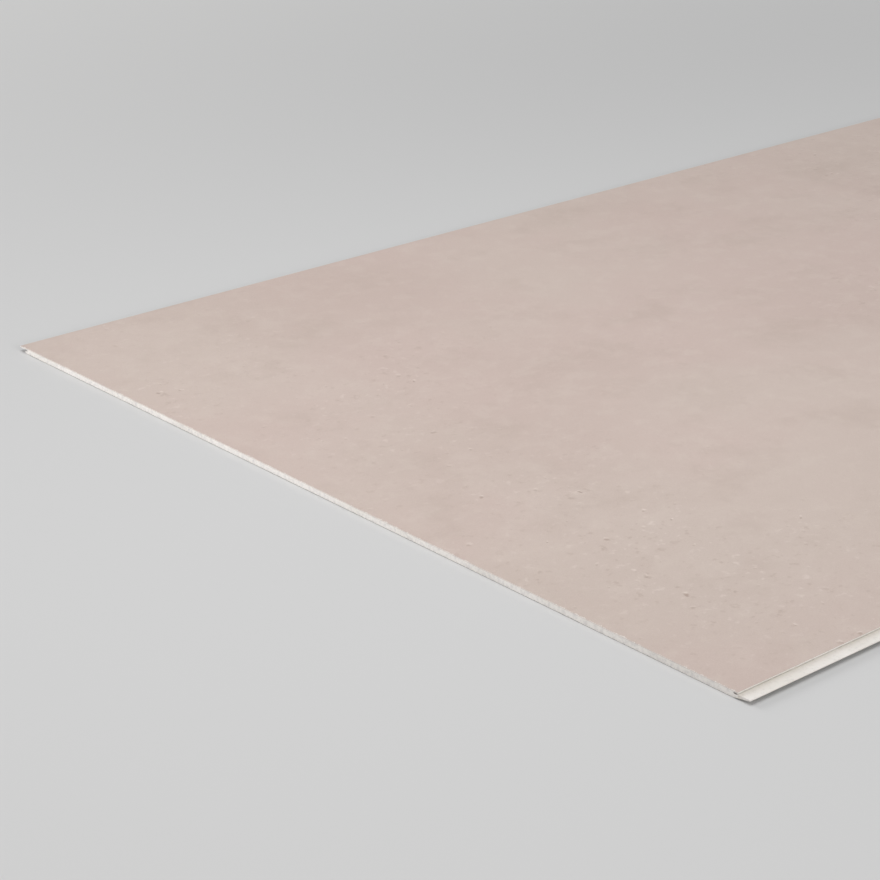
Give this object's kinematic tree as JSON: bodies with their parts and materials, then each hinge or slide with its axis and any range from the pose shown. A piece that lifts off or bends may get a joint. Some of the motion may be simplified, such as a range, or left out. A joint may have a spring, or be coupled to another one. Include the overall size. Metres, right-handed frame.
{
  "type": "plastic wall panel",
  "caption": "Flat solid plastic wall panel with a stone-look face, a wedge tongue along one long edge and a groove under an overlapping lip along the other.",
  "frame": {"origin": "centre of the board's back face plane, midway between the tongue's nose and the upper lip's edge and midway along the length", "axes": "+X along the length, -Y out of the tongue edge, +Y out of the groove edge, +Z out of the decorated face"},
  "size_m": [2.6, 0.9114, 0.005],
  "materials": {
    "wall_panel": "matte printed stone-look face in warm greige over a solid white plastic core"
  },
  "bodies": {
    "root": {"wall_panel": "wall_panel"}
  },
  "joints": []
}
